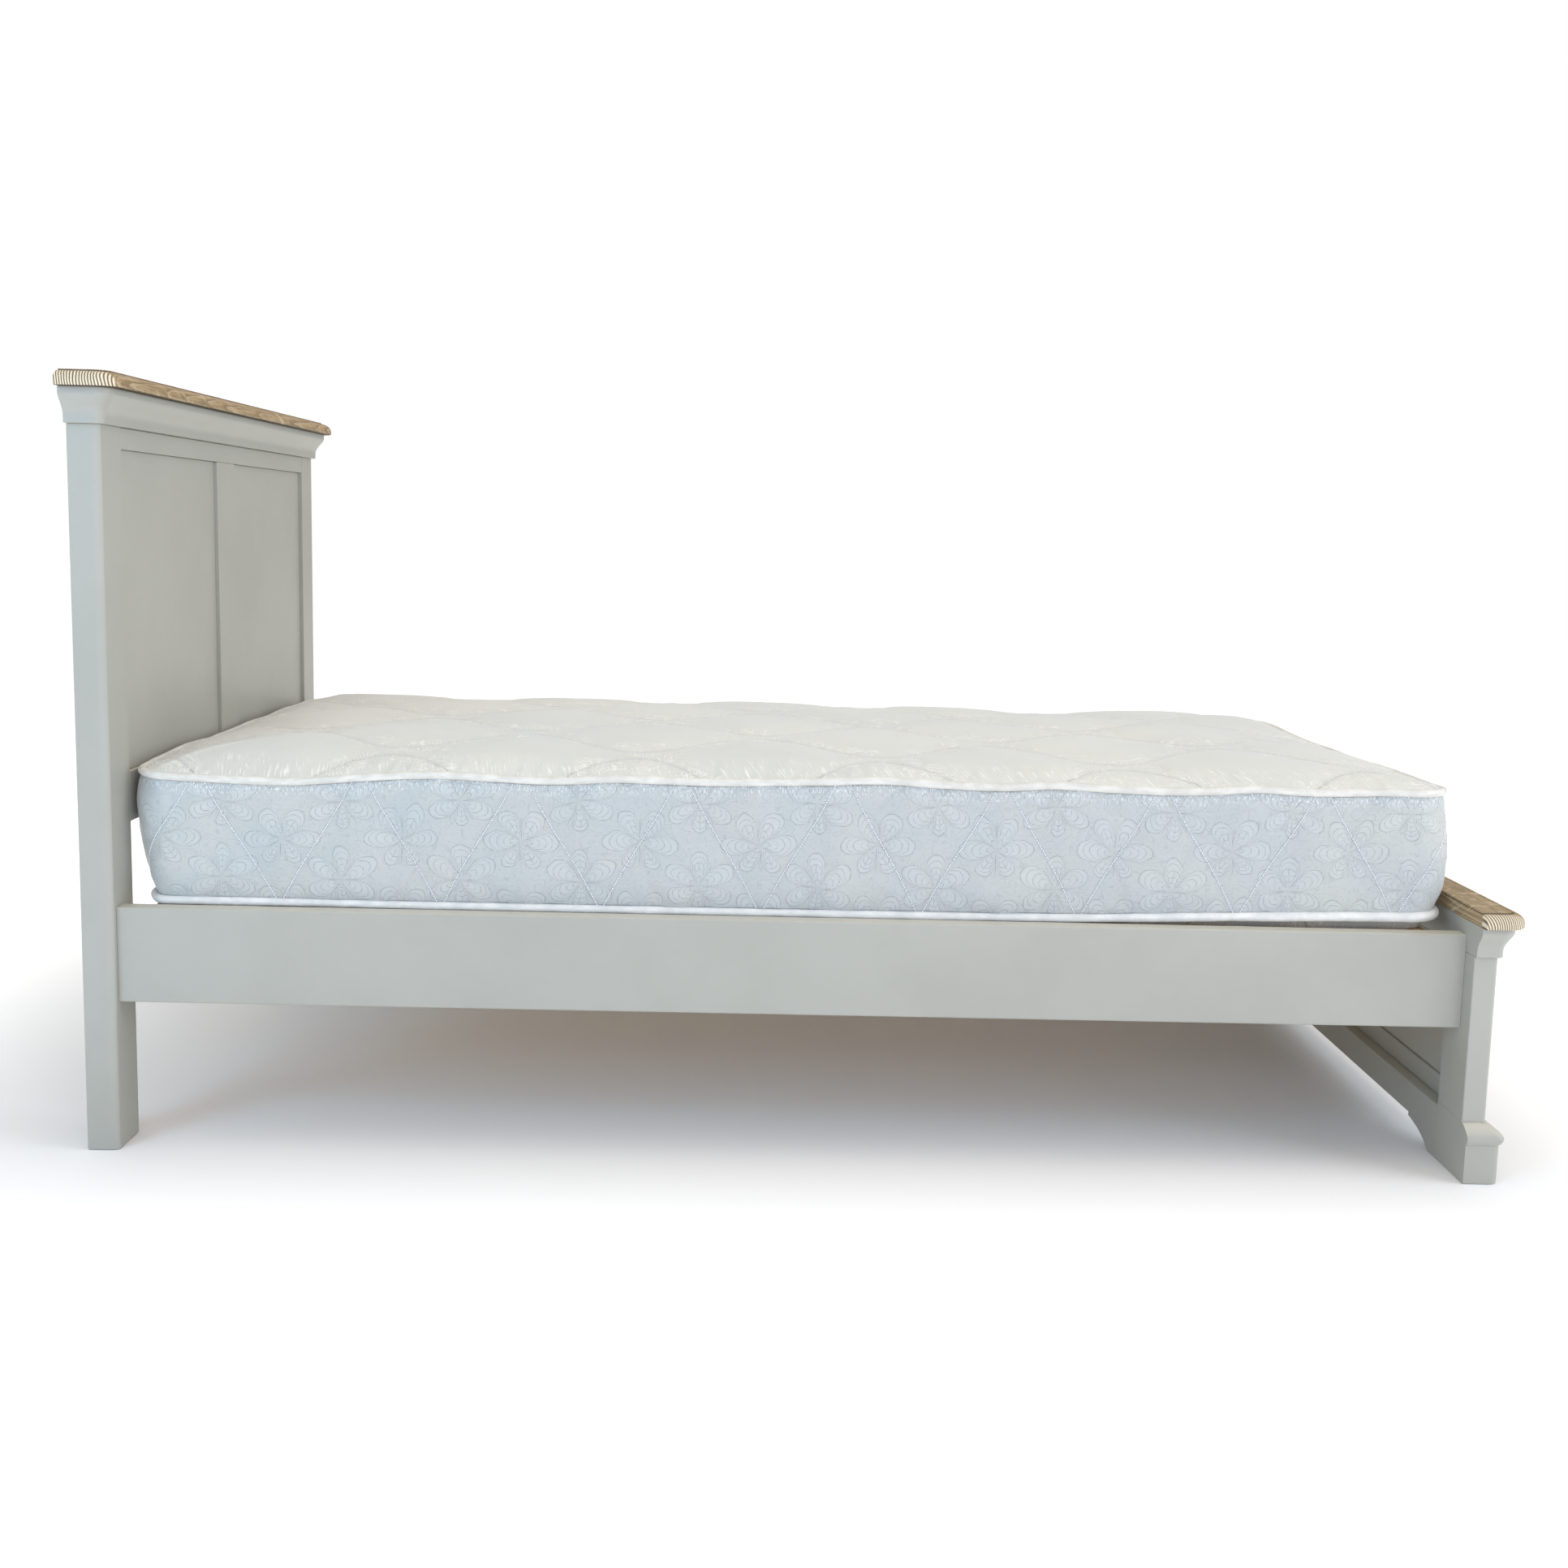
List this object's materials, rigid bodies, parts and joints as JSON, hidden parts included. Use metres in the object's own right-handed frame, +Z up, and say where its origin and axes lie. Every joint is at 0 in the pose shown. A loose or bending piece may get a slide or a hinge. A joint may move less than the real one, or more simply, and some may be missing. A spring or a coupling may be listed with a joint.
{
  "type": "single bedstead with mattress",
  "caption": "Painted wooden single bedstead with oak capping rails, low foot end, slatted base and quilted damask mattress.",
  "frame": {"origin": "on the floor, under the middle of the bed's bounding box", "axes": "+X along the bed from the headboard to the footboard, +Y across it to the right as seen from the foot, +Z up"},
  "size_m": [2.0624, 1.113, 1.1115],
  "materials": {
    "painted_wood": "satin",
    "limed_oak": "satin",
    "pine": "matte",
    "zinc_steel": "satin",
    "border_damask": "matte",
    "top_damask": "matte",
    "tape": "satin"
  },
  "bodies": {
    "bedstead": {"head_post_left": "painted_wood", "head_post_right": "painted_wood", "head_top_rail": "painted_wood", "head_bottom_rail": "painted_wood", "head_centre_stile": "painted_wood", "head_panel_left": "painted_wood", "head_panel_right": "painted_wood", "head_cornice": "painted_wood", "head_oak_cap": "limed_oak", "foot_post_left": "painted_wood", "foot_post_right": "painted_wood", "foot_plinth_left": "painted_wood", "foot_plinth_right": "painted_wood", "foot_top_rail": "painted_wood", "foot_apron": "painted_wood", "foot_bracket_left": "painted_wood", "foot_bracket_right": "painted_wood", "foot_panel": "painted_wood", "foot_panel_bead": "painted_wood", "foot_cornice": "painted_wood", "foot_oak_cap": "limed_oak", "side_rail_left": "painted_wood", "side_rail_right": "painted_wood", "slat_bearer_left": "pine", "slat_bearer_right": "pine", "slat_01": "pine", "slat_02": "pine", "slat_03": "pine", "slat_04": "pine", "slat_05": "pine", "slat_06": "pine", "slat_07": "pine", "slat_08": "pine", "slat_09": "pine", "slat_10": "pine", "slat_11": "pine", "slat_12": "pine", "slat_13": "pine", "corner_iron_head_left": "zinc_steel", "corner_iron_head_right": "zinc_steel", "corner_iron_foot_left": "zinc_steel", "corner_iron_foot_right": "zinc_steel", "corner_bolt_head_left_low": "zinc_steel", "corner_bolt_head_left_high": "zinc_steel", "corner_bolt_head_right_low": "zinc_steel", "corner_bolt_head_right_high": "zinc_steel", "corner_bolt_foot_left_low": "zinc_steel", "corner_bolt_foot_left_high": "zinc_steel", "corner_bolt_foot_right_low": "zinc_steel", "corner_bolt_foot_right_high": "zinc_steel"},
    "mattress": {"mattress_border_and_springs": "border_damask", "mattress_top_panel": "top_damask", "mattress_bottom_panel": "top_damask", "mattress_tape_top": "tape", "mattress_tape_bottom": "tape"}
  },
  "joints": [
    {"name": "mattress_lift", "type": "slide", "parent": "bedstead", "child": "mattress", "axis": [0.0995, 0, 0.995], "range_m": [0, 0.85]}
  ]
}
